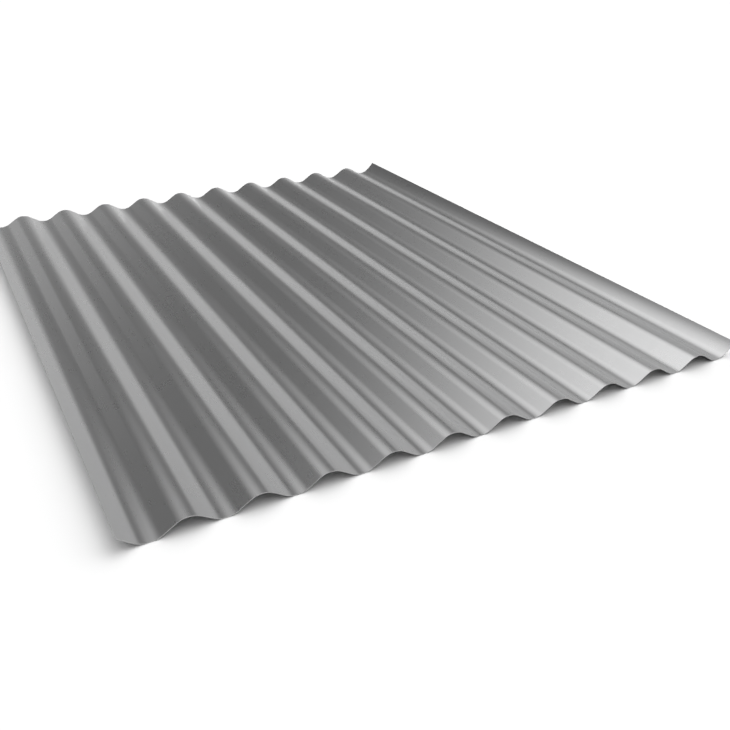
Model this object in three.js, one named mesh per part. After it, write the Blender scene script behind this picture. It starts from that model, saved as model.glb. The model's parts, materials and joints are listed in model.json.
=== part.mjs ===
// Corrugated steel sheet for roofs and walls, lying flat.
// Millimetres. X runs across the waves, Y along them and Z up. The origin is the middle of the base.

import * as THREE from 'three';

// The rolled profile
const PITCH = 76; // from one valley to the next
const DEPTH = 16; // from the underside of a valley to the top of a crest
const THICKNESS = 0.7; // steel with its zinc coat
const FLANK_FLAT = 14.5; // straight run of a flank between the bends at its two ends

// The cut sheet
const WAVES = 10; // whole waves from the first valley to the last
const LENGTH = 1000; // along the waves
const LEFT_LAP = 31; // from the first valley out to the left edge
const LEFT_LAP_LEVEL = 2; // level run from the first valley before it turns up into the left lap
const LEFT_LAP_SLOPE = 40; // degrees, steeper than a flank between two waves
const RIGHT_LAP = 29.5; // from the last valley out to the right edge
const RIGHT_LAP_SLOPE = 44; // degrees

// Facets
const FACETS_PER_BEND = 11; // an odd number gives each crest and valley a level facet

const STEEL = { color: 0xb6b8ba, roughness: 0.32, metalness: 0.95 };

// All bends share one radius. A bend, half a pitch and the rise fix each other through the angle of
// the flank: tan(angle / 2) = rise / (half pitch + flank flat).
const halfPitch = PITCH / 2;
const rise = DEPTH - THICKNESS; // of the line at mid thickness
const flankAngle = 2 * Math.atan(rise / (halfPitch + FLANK_FLAT));
const bendRadius = (halfPitch - FLANK_FLAT * Math.cos(flankAngle)) / (2 * Math.sin(flankAngle));

// Bends are counted from the first valley, so the even ones are valleys and the odd ones crests. Beside
// the middle of a bend the sheet may run on level, and then it turns until it has the slope.
const lastBend = 2 * WAVES;
const flank = { level: 0, slope: flankAngle };
const leftLap = { level: LEFT_LAP_LEVEL, slope: THREE.MathUtils.degToRad(LEFT_LAP_SLOPE) };
const rightLap = { level: 0, slope: THREE.MathUtils.degToRad(RIGHT_LAP_SLOPE) };

function sideOfBend(bend, isRight) {
  if (bend === 0 && !isRight) {
    return leftLap;
  }
  return bend === lastBend && isRight ? rightLap : flank;
}

// The line at mid thickness, measured from the lowest point of the first valley: its height and its
// angle to level.
function midLineAt(x) {
  const bend = THREE.MathUtils.clamp(Math.round(x / halfPitch), 0, lastBend);
  const fromBend = x - bend * halfPitch;
  const side = sideOfBend(bend, fromBend > 0);

  const turned = Math.max(Math.abs(fromBend) - side.level, 0);
  const alongArc = Math.min(turned, bendRadius * Math.sin(side.slope));
  const angle = Math.asin(alongArc / bendRadius);
  const height = bendRadius * (1 - Math.cos(angle)) + (turned - alongArc) * Math.tan(angle);

  const isCrest = bend % 2 !== 0;
  const turn = isCrest ? -1 : 1; // a valley turns upwards
  return { x, z: isCrest ? rise - height : height, angle: turn * Math.sign(fromBend) * angle };
}

// Where the section has corners beside the middle of a bend: at the end of its level facet, and from
// there at equal angles up to the slope.
function cornersBeside(bend, isRight) {
  const { level, slope } = sideOfBend(bend, isRight);
  const levelAngle = flankAngle / FACETS_PER_BEND;
  const facets = Math.round((slope - levelAngle) / (2 * levelAngle));
  return Array.from({ length: facets + 1 }, (_, i) => {
    const angle = levelAngle + ((slope - levelAngle) * i) / facets;
    const away = level + bendRadius * Math.sin(angle);
    return bend * halfPitch + (isRight ? away : -away);
  });
}

function sectionCorners() {
  const corners = [-LEFT_LAP];
  for (let bend = 0; bend <= lastBend; bend += 1) {
    corners.push(...cornersBeside(bend, false).reverse(), ...cornersBeside(bend, true));
  }
  corners.push(WAVES * PITCH + RIGHT_LAP);
  return corners;
}

// One face of the sheet, half a thickness over or under the line at mid thickness.
function faceLine(midLine, offset) {
  return midLine.map(({ x, z, angle }) => (
    new THREE.Vector2(x - offset * Math.sin(angle), z + offset * Math.cos(angle))
  ));
}

function sheetSection() {
  const midLine = sectionCorners().map(midLineAt);
  const underside = faceLine(midLine, -THICKNESS / 2);
  const topside = faceLine(midLine, THICKNESS / 2);
  return new THREE.Shape([...underside, ...topside.reverse()]);
}

function sheetGeometry() {
  const geometry = new THREE.ExtrudeGeometry(sheetSection(), { depth: LENGTH, bevelEnabled: false });
  geometry.rotateX(Math.PI / 2); // the section stands up, and the waves run along Y
  geometry.computeBoundingBox();
  const { min, max } = geometry.boundingBox;
  geometry.translate(-(min.x + max.x) / 2, -(min.y + max.y) / 2, -min.z);
  return geometry;
}

const sheet = new THREE.Mesh(sheetGeometry(), new THREE.MeshStandardMaterial(STEEL));
sheet.name = 'corrugated_sheet';

const part = new THREE.Group();
part.add(sheet);

export default part;
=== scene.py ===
import json
import math

import bmesh
import bpy
from bpy.props import FloatProperty, FloatVectorProperty, IntProperty, PointerProperty
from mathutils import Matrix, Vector


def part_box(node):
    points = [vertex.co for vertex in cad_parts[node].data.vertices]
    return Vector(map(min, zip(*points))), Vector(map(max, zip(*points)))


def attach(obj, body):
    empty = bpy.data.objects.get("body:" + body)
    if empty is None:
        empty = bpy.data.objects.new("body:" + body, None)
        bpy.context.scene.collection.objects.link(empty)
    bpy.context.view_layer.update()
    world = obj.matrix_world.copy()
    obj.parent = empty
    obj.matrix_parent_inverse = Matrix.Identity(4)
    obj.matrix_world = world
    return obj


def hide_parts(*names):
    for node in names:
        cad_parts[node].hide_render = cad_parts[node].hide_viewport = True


bl_info = {
    "name": "Corrugated steel sheet",
    "version": (1, 0, 0),
    "blender": (4, 5, 0),
    "location": "View3D > Sidebar > Corrugated sheet",
    "description": "A zinc coated corrugated sheet lying in a white studio",
    "category": "Object",
}

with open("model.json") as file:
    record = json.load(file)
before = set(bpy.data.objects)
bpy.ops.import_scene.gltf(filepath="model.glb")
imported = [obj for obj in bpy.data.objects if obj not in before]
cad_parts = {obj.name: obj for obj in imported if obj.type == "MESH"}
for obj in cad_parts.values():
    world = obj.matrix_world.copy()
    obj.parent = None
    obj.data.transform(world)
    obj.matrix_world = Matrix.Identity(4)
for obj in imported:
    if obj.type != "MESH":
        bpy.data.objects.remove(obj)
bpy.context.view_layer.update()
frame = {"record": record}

# ---------------------------------------------------------------------------------------------
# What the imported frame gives
# ---------------------------------------------------------------------------------------------

BODY = "root"
CAD_NODE = "corrugated_sheet"

SHEET_LOW, SHEET_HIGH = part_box(CAD_NODE)
LENGTH = SHEET_HIGH.y - SHEET_LOW.y
MOUNTS = {mount["name"]: Vector(mount["pos_m"]) for mount in frame["record"]["mounts"]}
FIRST_VALLEY_X = MOUNTS["side_lap_left"].x
LAST_VALLEY_X = MOUNTS["side_lap_right"].x
CREST_TOP = MOUNTS["crest_fix_front_left"].z

# ---------------------------------------------------------------------------------------------
# Values that stay as they are
# ---------------------------------------------------------------------------------------------

MM = 0.001
UP = (0, 0, 1)

# The sheet's two materials, by their place in its list
COATED_FACE = 0
CUT_EDGE = 1

# The mesh
WELD_REACH = 0.001 * MM
RIM_CORNER = math.radians(60)  # only the corners of the cut rim turn by more than this
ROUND_STEPS = 2

# Marks in the coat and on the cut edge
CLOUD_DETAIL = 3
CLOUD_DEPTH = 0.05 * MM
DRAW_LINE_DETAIL = 2
DRAW_LINE_STRETCH = 120
DRAW_LINE_DEPTH = 0.0004 * MM
SHEAR_MARK_DETAIL = 2
SHEAR_MARK_WIDTH = 0.3 * MM
SHEAR_MARK_STRETCH = 10
SHEAR_MARK_DEPTH = 0.01 * MM

# Light and camera
FIRST_BOUNCE = 2.5  # a ray that reaches the world after one bounce has a ray depth of 2
SCATTERED = 0.5  # a ray that has met the floor has a diffuse depth of 1 or more
SENSOR_WIDTH = 36  # millimetres


# ---------------------------------------------------------------------------------------------
# Settings
# ---------------------------------------------------------------------------------------------

class SheetSettings(bpy.types.PropertyGroup):
    """Sizes of the rolled and cut sheet. Its length, its valleys and the height of its crests
    come from the frame."""

    waves: IntProperty(
        name="Waves", description="Whole waves from the first valley to the last",
        default=10, min=1)
    thickness: FloatProperty(
        name="Thickness", description="Steel with its zinc coat",
        default=0.7 * MM, unit="LENGTH", subtype="DISTANCE", precision=5)
    flank_flat: FloatProperty(
        name="Flank flat", description="Straight run of a flank between its two bends",
        default=14.5 * MM, unit="LENGTH", subtype="DISTANCE", precision=5)
    left_lap: FloatProperty(
        name="Left lap", description="From the first valley out to the left edge",
        default=31 * MM, unit="LENGTH", subtype="DISTANCE", precision=5)
    left_lap_level: FloatProperty(
        name="Left lap level", description="Level run before the left lap turns up",
        default=2 * MM, unit="LENGTH", subtype="DISTANCE", precision=5)
    left_lap_slopes: FloatVectorProperty(
        name="Left lap slopes",
        description="Slope of the left lap where it leaves the valley and at its edge",
        size=2, default=(math.radians(38), math.radians(42)), subtype="EULER")
    right_lap: FloatProperty(
        name="Right lap", description="From the last valley out to the right edge",
        default=29.5 * MM, unit="LENGTH", subtype="DISTANCE", precision=5)
    right_lap_slopes: FloatVectorProperty(
        name="Right lap slopes",
        description="Slope of the right lap where it leaves the valley and at its edge",
        size=2, default=(math.radians(37), math.radians(50.4)), subtype="EULER")
    edge_round: FloatProperty(
        name="Edge round", description="How far the shear rounds the cut edges",
        default=0.25 * MM, unit="LENGTH", subtype="DISTANCE", precision=6)
    bend_steps: IntProperty(
        name="Bend steps", description="Strips round each bend", default=28, min=3)
    length_steps: IntProperty(
        name="Length steps", description="Rows of faces along the waves", default=24, min=1)


class FinishSettings(bpy.types.PropertyGroup):
    """Colours, roughness and fine marks of the zinc coat and of the sheared edge."""

    zinc_colour: FloatVectorProperty(
        name="Zinc", description="Colour of the zinc coat",
        default=(0.55, 0.551, 0.553), subtype="COLOR", min=0, max=1)
    zinc_roughness: FloatProperty(
        name="Zinc roughness", description="Mean roughness of the zinc coat",
        default=0.28, min=0, max=1, subtype="FACTOR")
    crystal_size: FloatProperty(
        name="Crystal size", description="Width of one crystal of the zinc coat",
        default=9 * MM, unit="LENGTH", subtype="DISTANCE", precision=4)
    crystal_contrast: FloatProperty(
        name="Crystal contrast", description="How much the crystals differ in tone and shine",
        default=0.01, min=0)
    draw_line_width: FloatProperty(
        name="Draw line width", description="Width of the faint lines that the rolls leave",
        default=1.6 * MM, unit="LENGTH", subtype="DISTANCE", precision=5)
    draw_line_contrast: FloatProperty(
        name="Draw line contrast", description="How much the lines differ in tone and shine",
        default=0.02, min=0)
    cloud_size: FloatProperty(
        name="Cloud size", description="Width of the dull and bright patches of the coat",
        default=90 * MM, unit="LENGTH", subtype="DISTANCE", precision=4)
    cloud_contrast: FloatProperty(
        name="Cloud contrast", description="How much the patches differ in tone and shine",
        default=0.025, min=0)
    edge_colour: FloatVectorProperty(
        name="Sheared edge", description="Colour of the bare steel where the sheet was cut",
        default=(0.5, 0.5, 0.5), subtype="COLOR", min=0, max=1)
    edge_roughness: FloatProperty(
        name="Edge roughness", description="Mean roughness of the sheared edge",
        default=0.5, min=0, max=1, subtype="FACTOR")
    edge_contrast: FloatProperty(
        name="Edge contrast",
        description="How much the marks of the shear differ in tone and shine",
        default=0.3, min=0)


class StudioSettings(bpy.types.PropertyGroup):
    """Floor, light and camera. The dim, wall, side and ceiling lights are what the sheet mirrors,
    and the overhead and key lights fall on the floor."""

    dim_light: FloatProperty(
        name="Dim light", description="Strength of the dim band between walls and ceiling",
        default=0.142, min=0)
    wall_light: FloatProperty(
        name="Wall light", description="What the glow low on the studio's walls adds",
        default=0.506, min=0)
    wall_top: FloatVectorProperty(
        name="Wall top", description="Heights over which the glow on the walls fades out",
        size=2, default=(math.radians(16.5), math.radians(17.6)), subtype="EULER")
    wall_tilt: FloatProperty(
        name="Wall tilt", description="How far the glow climbs higher on the right",
        default=math.radians(4.4), subtype="ANGLE")
    side_light: FloatProperty(
        name="Side light", description="What the tall soft lamp on the right adds",
        default=0.4, min=0)
    side_edge: FloatVectorProperty(
        name="Side edge", description="How far to the right the side lamp begins and is full",
        size=2, default=(0.55, 0.615))
    ceiling_light: FloatProperty(
        name="Ceiling light", description="What the soft light all over the ceiling adds",
        default=1.355, min=0)
    ceiling_edge: FloatVectorProperty(
        name="Ceiling edge", description="Heights over which the ceiling's light comes up",
        size=2, default=(math.radians(34.3), math.radians(56.9)), subtype="EULER")
    overhead_light: FloatProperty(
        name="Overhead light", description="Strength of the light from above on the floor",
        default=1.207, min=0)
    overhead_edge: FloatVectorProperty(
        name="Overhead edge", description="Heights over which the light from above comes up",
        size=2, default=(math.radians(16.1), math.radians(57.8)), subtype="EULER")
    key_light: FloatProperty(
        name="Key light", description="Strength of the soft lamp on one side",
        default=3.285, min=0)
    key_side: FloatVectorProperty(
        name="Key side", description="Side on which that lamp stands",
        default=(0.869, 0.495, 0), subtype="DIRECTION")
    key_edge: FloatVectorProperty(
        name="Key edge", description="How far to that side the lamp begins and is full",
        size=2, default=(0.07, 1.09))
    floor_white: FloatProperty(
        name="Floor", description="How much light the floor gives back",
        default=0.8, min=0, max=1, subtype="FACTOR")
    floor_size: FloatProperty(
        name="Floor size", description="Side of the floor", default=24, unit="LENGTH")
    camera_place: FloatVectorProperty(
        name="Camera place", description="Where the camera stands",
        default=(-0.49028, -1.1309, 0.5270), subtype="TRANSLATION", unit="LENGTH")
    camera_heading: FloatProperty(
        name="Camera heading", description="Turn of the view from along the waves to the right",
        default=math.radians(28.397), subtype="ANGLE")
    camera_dip: FloatProperty(
        name="Camera dip", description="How far the view looks down",
        default=math.radians(28.89), subtype="ANGLE")
    camera_lens: FloatProperty(
        name="Lens", description="Focal length of the lens",
        default=41.04, subtype="DISTANCE_CAMERA")


# ---------------------------------------------------------------------------------------------
# Shader sums
# ---------------------------------------------------------------------------------------------

class Wire:
    """An output socket that can be added, subtracted, multiplied and compared like a number."""

    def __init__(self, graph, socket):
        self.graph = graph
        self.socket = socket

    def __add__(self, other):
        return self.graph.maths("ADD", self, other)

    def __radd__(self, other):
        return self.graph.maths("ADD", other, self)

    def __sub__(self, other):
        return self.graph.maths("SUBTRACT", self, other)

    def __rsub__(self, other):
        return self.graph.maths("SUBTRACT", other, self)

    def __mul__(self, other):
        return self.graph.maths("MULTIPLY", self, other)

    def __rmul__(self, other):
        return self.graph.maths("MULTIPLY", other, self)

    def __lt__(self, other):
        return self.graph.maths("LESS_THAN", self, other)

    def __gt__(self, other):
        return self.graph.maths("GREATER_THAN", self, other)


def in_use(sockets, key):
    """The socket of that number, or the one of that name which the node's settings leave in use."""
    if isinstance(key, int):
        return sockets[key]
    return next(socket for socket in sockets if socket.name == key and socket.enabled)


class Graph:
    """The node tree of a material or world, emptied and filled again."""

    def __init__(self, owner):
        owner.use_nodes = True
        self.tree = owner.node_tree
        self.tree.nodes.clear()

    def add(self, kind, settings, sockets, output=0):
        """Adds a node, makes its settings, then fills its sockets with values or wires."""
        node = self.tree.nodes.new(kind)
        for name, value in settings.items():
            setattr(node, name, value)
        for key, value in sockets.items():
            socket = in_use(node.inputs, key)
            if isinstance(value, Wire):
                self.tree.links.new(value.socket, socket)
            else:
                socket.default_value = value
        return Wire(self, in_use(node.outputs, output)) if node.outputs else None

    def maths(self, operation, *values):
        return self.add("ShaderNodeMath", {"operation": operation}, dict(enumerate(values)))

    def smooth_step(self, value, start, end):
        """0 below start, 1 above end and a soft rise between them."""
        return self.add(
            "ShaderNodeMapRange", {"interpolation_type": "SMOOTHSTEP"},
            {"Value": value, "From Min": start, "From Max": end}, "Result")

    def share(self, direction, axis):
        """How much of a direction points along an axis."""
        return self.add(
            "ShaderNodeVectorMath", {"operation": "DOT_PRODUCT"}, {0: direction, 1: axis}, "Value")

    def height_angle(self, direction, up):
        """Angle of a direction above the plane that an axis stands on."""
        return self.maths("ARCSINE", self.share(direction, up))

    def light_path(self, question):
        return self.add("ShaderNodeLightPath", {}, {}, question)

    def grain(self, place, size, detail):
        """Noise from -0.5 to 0.5 with one soft patch per size, in metres along x, y and z."""
        scaled = self.add(
            "ShaderNodeMapping", {}, {"Vector": place, "Scale": tuple(1 / part for part in size)})
        noise = self.add(
            "ShaderNodeTexNoise", {}, {"Vector": scaled, "Scale": 1.0, "Detail": detail})
        return noise - 0.5

    def crystals(self, place, size):
        """A value from -0.5 to 0.5 for each crystal of that width."""
        cell = self.add(
            "ShaderNodeTexVoronoi", {}, {"Vector": place, "Scale": 1 / size}, "Color")
        return self.add("ShaderNodeSeparateColor", {}, {"Color": cell}, "Red") - 0.5

    def tinted(self, colour, tone):
        """A colour made lighter or darker by a wire."""
        return self.add(
            "ShaderNodeVectorMath", {"operation": "SCALE"}, {0: tuple(colour), "Scale": tone})

    def relief(self, height):
        """Normal of a surface raised by a height in metres."""
        return self.add(
            "ShaderNodeBump", {}, {"Strength": 1.0, "Distance": 1.0, "Height": height})

    def metal(self, colour, roughness, normal):
        """Ends a material as bare metal."""
        shader = self.add(
            "ShaderNodeBsdfPrincipled", {},
            {"Base Color": colour, "Metallic": 1.0, "Roughness": roughness, "Normal": normal})
        self.add("ShaderNodeOutputMaterial", {}, {"Surface": shader})


# ---------------------------------------------------------------------------------------------
# Sheet
# ---------------------------------------------------------------------------------------------

class Section:
    """A part of the sheet's section, drawn from the first valley to one side, 1 being the right
    and -1 the left. It is a chain of edges at mid thickness that runs on straight or bends."""

    def __init__(self, bm, start, side, radius, step):
        self.bm = bm
        self.end = bm.verts.new(start)
        self.side = side
        self.radius = radius
        self.step = step
        self.slope = 0

    def straight(self, length):
        self.end = bmesh.ops.extrude_vert_indiv(self.bm, verts=[self.end])["verts"][0]
        self.end.co += length * Vector((self.side * math.cos(self.slope), 0, math.sin(self.slope)))

    def bend(self, angle, radius):
        """Bends upwards, or downwards if the angle is negative."""
        above = Vector((-self.side * math.sin(self.slope), 0, math.cos(self.slope)))
        spun = bmesh.ops.spin(
            self.bm, geom=[self.end], cent=self.end.co + math.copysign(radius, angle) * above,
            axis=(0, 1, 0), dvec=(0, 0, 0), angle=-self.side * angle,
            steps=math.ceil(abs(angle) / self.step), use_merge=False, use_duplicate=False)
        self.end = next(
            item for item in spun["geom_last"] if isinstance(item, bmesh.types.BMVert))
        self.slope += angle

    def lap(self, slopes, width):
        """Turns up to the first slope, then bends on gently to the second one at the edge, a
        width away in all."""
        first, last = slopes
        self.bend(first - self.slope, self.radius)
        rest = width - self.radius * math.sin(first)
        self.bend(last - first, rest / (math.sin(last) - math.sin(first)))


def wave_line(bm, sheet):
    """Draws the section from the first valley to the right edge and to the left edge. The bends
    share one radius, which the pitch, the rise and the flat of a flank fix."""
    half_pitch = (LAST_VALLEY_X - FIRST_VALLEY_X) / sheet.waves / 2
    rise = CREST_TOP - SHEET_LOW.z - sheet.thickness
    flank = 2 * math.atan(rise / (half_pitch + sheet.flank_flat))
    radius = (half_pitch - sheet.flank_flat * math.cos(flank)) / (2 * math.sin(flank))
    step = 2 * flank / sheet.bend_steps
    start = (FIRST_VALLEY_X, SHEET_LOW.y, SHEET_LOW.z + sheet.thickness / 2)

    right = Section(bm, start, 1, radius, step)
    for _ in range(sheet.waves):
        right.bend(flank - right.slope, radius)
        right.straight(sheet.flank_flat)
        right.bend(-2 * flank, radius)
        right.straight(sheet.flank_flat)
    right.lap(sheet.right_lap_slopes, sheet.right_lap)

    left = Section(bm, start, -1, radius, step)
    left.straight(sheet.left_lap_level)
    left.lap(sheet.left_lap_slopes, sheet.left_lap - sheet.left_lap_level)

    bmesh.ops.remove_doubles(bm, verts=list(bm.verts), dist=WELD_REACH)


def draw_along(bm, sheet):
    """Draws the section out to the sheet's length, in equal rows."""
    row = Vector((0, LENGTH / sheet.length_steps, 0))
    edges = list(bm.edges)
    for _ in range(sheet.length_steps):
        drawn = bmesh.ops.extrude_edge_only(bm, edges=edges)["geom"]
        moved = {item for item in drawn if isinstance(item, bmesh.types.BMVert)}
        edges = [
            item for item in drawn
            if isinstance(item, bmesh.types.BMEdge) and moved.issuperset(item.verts)]
        bmesh.ops.translate(bm, verts=list(moved), vec=row)


def put_in_order(items, key):
    """Puts a mesh's corners, edges or faces in the order of a key."""
    for index, item in enumerate(sorted(items, key=key)):
        item.index = index
    items.sort()


def settle_order(bm):
    """Orders the corners by their place, and the edges and faces by their corners. Extruding,
    thickening and rounding leave them in an order that changes from run to run."""
    put_in_order(bm.verts, lambda vert: vert.co[:])
    for items in (bm.edges, bm.faces):
        put_in_order(items, lambda item: sorted(vert.index for vert in item.verts))


def face_up(bm):
    """Turns the faces of the drawn section upwards."""
    bmesh.ops.recalc_face_normals(bm, faces=list(bm.faces))
    if sum(face.normal.z for face in bm.faces) < 0:
        bmesh.ops.reverse_faces(bm, faces=list(bm.faces))
    bm.normal_update()


def thicken(bm, sheet):
    """Gives the sheet half its thickness over and under the drawn face. The rim that closes it
    is the cut edge."""
    for vert in bm.verts:
        vert.co += vert.normal * sheet.thickness / 2
    bm.normal_update()
    topside = list(bm.faces)
    underside = bmesh.ops.solidify(bm, geom=topside, thickness=sheet.thickness)["geom"]
    coated = set(topside).union(underside)
    for face in bm.faces:
        face.material_index = COATED_FACE if face in coated else CUT_EDGE
    bm.normal_update()


def round_cut_edges(bm, sheet):
    """Rounds the corners of the rim a little, where it meets the coat and at its four ends."""
    corners = [edge for edge in bm.edges if edge.calc_face_angle(0) > RIM_CORNER]
    rounded = bmesh.ops.bevel(
        bm, geom=corners, offset=sheet.edge_round, offset_type="OFFSET", segments=ROUND_STEPS,
        profile=0.5, affect="EDGES", material=-1)["faces"]
    for face in rounded:
        face.material_index = CUT_EDGE


def shade_smooth(bm):
    """Smooth all over, apart from the line where the coat ends at the cut edge."""
    for face in bm.faces:
        face.smooth = True
    for edge in bm.edges:
        edge.smooth = len({face.material_index for face in edge.link_faces}) == 1


def build_sheet(sheet):
    """The corrugated sheet as a bmesh."""
    bm = bmesh.new()
    wave_line(bm, sheet)
    draw_along(bm, sheet)
    settle_order(bm)
    face_up(bm)
    thicken(bm, sheet)
    settle_order(bm)
    round_cut_edges(bm, sheet)
    settle_order(bm)
    shade_smooth(bm)
    return bm


def mesh_object(name, bm):
    """Puts a finished bmesh into the scene as an object at the origin."""
    mesh = bpy.data.meshes.new(name)
    bm.to_mesh(mesh)
    bm.free()
    piece = bpy.data.objects.new(name, mesh)
    bpy.context.scene.collection.objects.link(piece)
    return piece


def zinc_coat(finish):
    """Smooth zinc: faint crystals, lines drawn out along the waves by the rolls, soft clouds."""
    material = bpy.data.materials.new("zinc_coat")
    graph = Graph(material)
    place = graph.add("ShaderNodeTexCoord", {}, {}, "Object")
    width = finish.draw_line_width
    clouds = graph.grain(place, (finish.cloud_size,) * 3, CLOUD_DETAIL)
    crystals = graph.crystals(place, finish.crystal_size)
    draw_lines = graph.grain(place, (width, DRAW_LINE_STRETCH * width, width), DRAW_LINE_DETAIL)
    shine = (
        finish.crystal_contrast * crystals + finish.draw_line_contrast * draw_lines
        + finish.cloud_contrast * clouds)
    height = DRAW_LINE_DEPTH * draw_lines + CLOUD_DEPTH * clouds
    graph.metal(
        graph.tinted(finish.zinc_colour, 1 + shine), finish.zinc_roughness - shine,
        graph.relief(height))
    return material


def sheared_edge(finish):
    """Bare steel with the fine upright marks that the shear leaves."""
    material = bpy.data.materials.new("sheared_edge")
    graph = Graph(material)
    place = graph.add("ShaderNodeTexCoord", {}, {}, "Object")
    height = SHEAR_MARK_STRETCH * SHEAR_MARK_WIDTH
    marks = graph.grain(place, (SHEAR_MARK_WIDTH, SHEAR_MARK_WIDTH, height), SHEAR_MARK_DETAIL)
    shine = finish.edge_contrast * marks
    graph.metal(
        graph.tinted(finish.edge_colour, 1 + shine), finish.edge_roughness - shine,
        graph.relief(SHEAR_MARK_DEPTH * marks))
    return material


class SHEET_OT_build(bpy.types.Operator):
    """Builds the corrugated sheet with its zinc coat and sheared edges"""

    bl_idname = "sheet.build"
    bl_label = "Build the sheet"

    def execute(self, context):
        piece = mesh_object("rolled_sheet", build_sheet(context.scene.sheet_settings))
        finish = context.scene.finish_settings
        piece.data.materials.append(zinc_coat(finish))
        piece.data.materials.append(sheared_edge(finish))
        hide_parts(CAD_NODE)
        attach(piece, BODY)
        return {"FINISHED"}


# ---------------------------------------------------------------------------------------------
# Studio
# ---------------------------------------------------------------------------------------------

def white_floor(studio):
    """Lays a matt white floor under the sheet."""
    bm = bmesh.new()
    bmesh.ops.create_grid(bm, x_segments=1, y_segments=1, size=studio.floor_size / 2)
    floor = mesh_object("floor", bm)
    material = bpy.data.materials.new("matt_white")
    graph = Graph(material)
    white = studio.floor_white
    matt = graph.add("ShaderNodeBsdfDiffuse", {}, {"Color": (white, white, white, 1)})
    graph.add("ShaderNodeOutputMaterial", {}, {"Surface": matt})
    floor.data.materials.append(material)


def mirrored_studio(graph, direction, studio):
    """What the sheet mirrors: glowing walls, a tall soft lamp on the right, a dim band and a
    bright ceiling above it."""
    height = graph.height_angle(direction, UP)
    wall_height = graph.height_angle(
        direction, (-math.sin(studio.wall_tilt), 0, math.cos(studio.wall_tilt)))
    walls = studio.wall_light * (1 - graph.smooth_step(wall_height, *studio.wall_top))
    side = graph.smooth_step(graph.share(direction, (1, 0, 0)), *studio.side_edge)
    ceiling = studio.ceiling_light * graph.smooth_step(height, *studio.ceiling_edge)
    return studio.dim_light + walls + side * (studio.side_light - walls) + ceiling


def floor_lighting(graph, direction, studio):
    """What falls on the floor: broad light from above and a soft lamp on one side."""
    overhead = studio.overhead_light * graph.smooth_step(
        graph.height_angle(direction, UP), *studio.overhead_edge)
    key = studio.key_light * graph.smooth_step(
        graph.share(direction, tuple(studio.key_side)), *studio.key_edge)
    return overhead + key


def soft_light(studio):
    """Fills the world with white light, apart from two places. The floor gets its own lighting.
    The sheet mirrors the studio straight to the eye, but plain white in a second reflection, and
    it throws no glints on the floor."""
    world = bpy.data.worlds.new("studio")
    world.cycles.sampling_method = "NONE"
    graph = Graph(world)
    direction = graph.add("ShaderNodeTexCoord", {}, {}, "Generated")
    diffuse = graph.light_path("Is Diffuse Ray")
    glossy = graph.light_path("Is Glossy Ray")
    first = glossy * (graph.light_path("Ray Depth") < FIRST_BOUNCE)
    glint = glossy * (graph.light_path("Diffuse Depth") > SCATTERED)
    dome = 1 + diffuse * (floor_lighting(graph, direction, studio) - 1)
    light = first * mirrored_studio(graph, direction, studio) + (1 - first - glint) * dome
    sky = graph.add("ShaderNodeBackground", {}, {"Color": (1, 1, 1, 1), "Strength": light})
    graph.add("ShaderNodeOutputWorld", {}, {"Surface": sky})
    bpy.context.scene.world = world


def place_camera(studio):
    """Stands the camera in front of the sheet's left corner, looking down at it."""
    lens = bpy.data.cameras.new("camera")
    lens.lens = studio.camera_lens
    lens.sensor_width = SENSOR_WIDTH
    camera = bpy.data.objects.new("camera", lens)
    camera.location = studio.camera_place
    camera.rotation_euler = (math.pi / 2 - studio.camera_dip, 0, -studio.camera_heading)
    bpy.context.scene.collection.objects.link(camera)
    bpy.context.scene.camera = camera


class SHEET_OT_studio(bpy.types.Operator):
    """Lays the white floor, lights the studio and places the camera"""

    bl_idname = "sheet.studio"
    bl_label = "Set up the studio"

    def execute(self, context):
        studio = context.scene.studio_settings
        white_floor(studio)
        soft_light(studio)
        place_camera(studio)
        context.scene.view_settings.view_transform = "Standard"
        return {"FINISHED"}


class SHEET_PT_sidebar(bpy.types.Panel):
    """Lists the sheet's sizes, its finish and the studio, with the buttons that build them"""

    bl_idname = "SHEET_PT_sidebar"
    bl_label = "Corrugated sheet"
    bl_space_type = "VIEW_3D"
    bl_region_type = "UI"
    bl_category = "Corrugated sheet"

    def draw(self, context):
        scene = context.scene
        sections = (
            ("sheet.build", (scene.sheet_settings, scene.finish_settings)),
            ("sheet.studio", (scene.studio_settings,)),
        )
        for operator, groups in sections:
            box = self.layout.box()
            for group in groups:
                for name in type(group).__annotations__:
                    box.prop(group, name)
            box.operator(operator)


CLASSES = (
    SheetSettings, FinishSettings, StudioSettings,
    SHEET_OT_build, SHEET_OT_studio, SHEET_PT_sidebar)


def register():
    for item in CLASSES:
        bpy.utils.register_class(item)
    bpy.types.Scene.sheet_settings = PointerProperty(type=SheetSettings)
    bpy.types.Scene.finish_settings = PointerProperty(type=FinishSettings)
    bpy.types.Scene.studio_settings = PointerProperty(type=StudioSettings)


def unregister():
    del bpy.types.Scene.studio_settings
    del bpy.types.Scene.finish_settings
    del bpy.types.Scene.sheet_settings
    for item in reversed(CLASSES):
        bpy.utils.unregister_class(item)


def main():
    register()
    bpy.ops.sheet.studio()
    bpy.ops.sheet.build()


if __name__ == "__main__":
    main()
